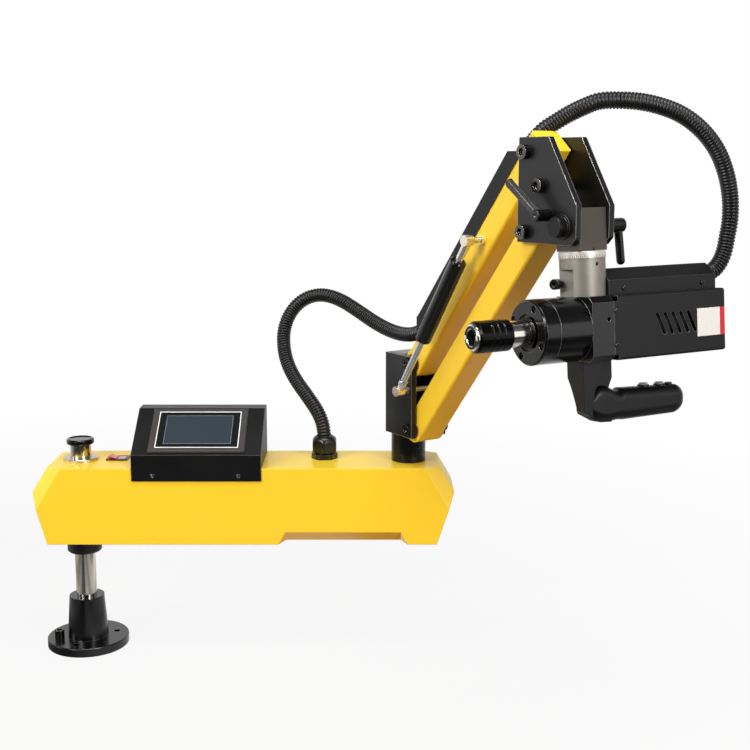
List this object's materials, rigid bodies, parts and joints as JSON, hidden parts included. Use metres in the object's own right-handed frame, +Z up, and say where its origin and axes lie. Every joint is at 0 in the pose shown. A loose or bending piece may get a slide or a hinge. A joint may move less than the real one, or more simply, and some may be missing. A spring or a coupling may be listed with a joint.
{
  "type": "arm tapping machine",
  "caption": "Articulated electric tapping arm: flanged column, yellow base arm with touch console, gas-sprung parallel arm and tilting, swivelling tapping head.",
  "frame": {"origin": "centre of the foot's bolt circle, on the foot's underside", "axes": "+Z up along the column, +X along the base arm towards the turret, +Y away from the console's front"},
  "size_m": [0.9453, 0.5128, 0.7933],
  "materials": {
    "yellow_paint": "gloss",
    "black_paint": "satin",
    "black_oxide": "satin",
    "grey_casting": "satin",
    "grey_steel": "satin",
    "steel": "satin",
    "chrome": "polished",
    "bronze": "satin",
    "black_plastic": "matte",
    "conduit_plastic": "matte",
    "grey_plastic": "matte",
    "red_plastic": "gloss",
    "green_plastic": "gloss",
    "screen": "gloss"
  },
  "bodies": {
    "foot": {"foot_flange": "black_oxide", "foot_screw": "black_oxide", "column": "chrome", "column_collar": "black_oxide", "column_cap": "black_plastic"},
    "base_arm": {"base_arm_shell": "yellow_paint", "base_cover": "yellow_paint", "bearing_cap": "steel", "column_bushes": "bronze", "post_bushes": "bronze", "console_housing": "black_paint", "console_screws": "steel", "hmi_bezel": "grey_plastic", "hmi_screen": "screen", "switch_bezel": "black_plastic", "cable_gland": "black_plastic", "gland_nut": "black_plastic", "drive_unit": "grey_casting", "base_conduit": "conduit_plastic"},
    "power_rocker": {"power_rocker": "red_plastic"},
    "turret": {"swivel_post": "black_oxide", "turret_plates": "black_paint", "turret_pins": "steel", "turret_screws": "black_oxide", "gas_lower_stud": "steel"},
    "upper_bar": {"upper_bar": "yellow_paint", "upper_bar_bushes": "bronze", "cable_cover": "black_paint", "gas_upper_stud": "steel", "conduit_saddle": "black_plastic", "base_conduit_end": "conduit_plastic", "head_conduit": "conduit_plastic"},
    "lower_bar": {"lower_bar": "yellow_paint", "lower_bar_bushes": "bronze"},
    "gas_rod": {"gas_rod": "chrome"},
    "gas_tube": {"gas_tube": "black_paint"},
    "head": {"head_plates": "black_paint", "head_pins": "steel", "head_screws": "steel", "tilt_pivot": "grey_steel", "head_conduit_mid": "conduit_plastic"},
    "front_lever": {"front_lever": "black_paint"},
    "rear_lever": {"rear_lever": "black_paint"},
    "tilt_block": {"tilt_block": "grey_steel", "swivel_spigot": "steel"},
    "tool": {"dial_ring": "steel", "swivel_collar": "steel", "gearbox_body": "grey_casting", "gearbox_cap": "grey_casting", "servo_motor": "black_paint", "motor_cover": "black_paint", "wiring_cover": "black_paint", "tool_screws": "steel", "handle": "grey_casting", "head_conduit_end": "conduit_plastic"},
    "spindle": {"spindle": "steel", "spindle_nut": "black_oxide"},
    "chuck_sleeve": {"chuck_sleeve": "black_oxide"},
    "start_button": {"start_button": "green_plastic"},
    "reverse_button": {"reverse_button": "red_plastic"}
  },
  "joints": [
    {"name": "base_swivel", "type": "hinge", "parent": "foot", "child": "base_arm", "pos_m": [0, 0, 0.1704], "axis": [0, 0, 1], "continuous": true},
    {"name": "power_switch", "type": "hinge", "parent": "base_arm", "child": "power_rocker", "pos_m": [0.053, 0.005, 0.2834], "axis": [0, 1, 0], "range_deg": [-18, 0]},
    {"name": "arm_swivel", "type": "hinge", "parent": "base_arm", "child": "turret", "pos_m": [0.479, 0, 0.2824], "axis": [0, 0, 1], "range_deg": [-60, 110], "deforming": ["base_conduit"]},
    {"name": "arm_lift", "type": "hinge", "parent": "turret", "child": "upper_bar", "pos_m": [0.50135, -0.03377, 0.433], "axis": [-0.8339, -0.5519, 0], "range_deg": [-50, 13], "deforming": ["base_conduit_end"]},
    {"name": "lower_bar_hinge", "type": "hinge", "parent": "turret", "child": "lower_bar", "pos_m": [0.50135, -0.03377, 0.338], "axis": [-0.8339, -0.5519, 0], "range_deg": [-50, 13]},
    {"name": "head_hinge", "type": "hinge", "parent": "upper_bar", "child": "head", "pos_m": [0.63546, -0.23639, 0.72257], "axis": [-0.8339, -0.5519, 0], "range_deg": [-13, 50], "deforming": ["head_conduit"]},
    {"name": "gas_rod_hinge", "type": "hinge", "parent": "turret", "child": "gas_rod", "pos_m": [0.46439, -0.05764, 0.395], "axis": [-0.8339, -0.5519, 0], "range_deg": [-46, 12]},
    {"name": "gas_tube_hinge", "type": "hinge", "parent": "upper_bar", "child": "gas_tube", "pos_m": [0.54789, -0.18381, 0.61271], "axis": [-0.8339, -0.5519, 0], "range_deg": [-1.2, 4.3]},
    {"name": "head_tilt", "type": "hinge", "parent": "head", "child": "tilt_block", "pos_m": [0.67216, -0.29184, 0.63597], "axis": [-0.8339, -0.5519, 0], "range_deg": [-5, 85], "deforming": ["head_conduit_mid"]},
    {"name": "head_swivel", "type": "hinge", "parent": "tilt_block", "child": "tool", "pos_m": [0.67791, -0.30052, 0.51692], "axis": [-0.0481, 0.0727, 0.9962], "range_deg": [-35, 35], "deforming": ["head_conduit_end"]},
    {"name": "front_clamp", "type": "hinge", "parent": "head", "child": "front_lever", "pos_m": [0.635, -0.29005, 0.64897], "axis": [0.8339, 0.5519, 0], "range_deg": [-40, 60]},
    {"name": "rear_clamp", "type": "hinge", "parent": "head", "child": "rear_lever", "pos_m": [0.69718, -0.27528, 0.63597], "axis": [0.8339, 0.5519, 0], "range_deg": [-60, 60]},
    {"name": "spindle_spin", "type": "hinge", "parent": "tool", "child": "spindle", "pos_m": [0.60576, -0.33732, 0.51612], "axis": [-0.8908, -0.4543, -0.0099], "continuous": true},
    {"name": "chuck_release", "type": "slide", "parent": "spindle", "child": "chuck_sleeve", "axis": [0.8908, 0.4543, 0.0099], "range_m": [0, 0.004], "stiffness_N_per_m": 1500, "springref_m": -0.002},
    {"name": "start_push", "type": "slide", "parent": "tool", "child": "start_button", "axis": [0.0481, -0.0727, -0.9962], "range_m": [0, 0.0015], "stiffness_N_per_m": 600, "springref_m": -0.001},
    {"name": "reverse_push", "type": "slide", "parent": "tool", "child": "reverse_button", "axis": [0.0481, -0.0727, -0.9962], "range_m": [0, 0.0015], "stiffness_N_per_m": 600, "springref_m": -0.001}
  ],
  "couplings": [
    {"joint": "lower_bar_hinge", "follows": "arm_lift", "ratio": 1},
    {"joint": "head_hinge", "follows": "arm_lift", "ratio": -1},
    {"joint": "gas_rod_hinge", "follows": "arm_lift", "ratio": 0.915},
    {"joint": "gas_tube_hinge", "follows": "arm_lift", "ratio": -0.085}
  ]
}
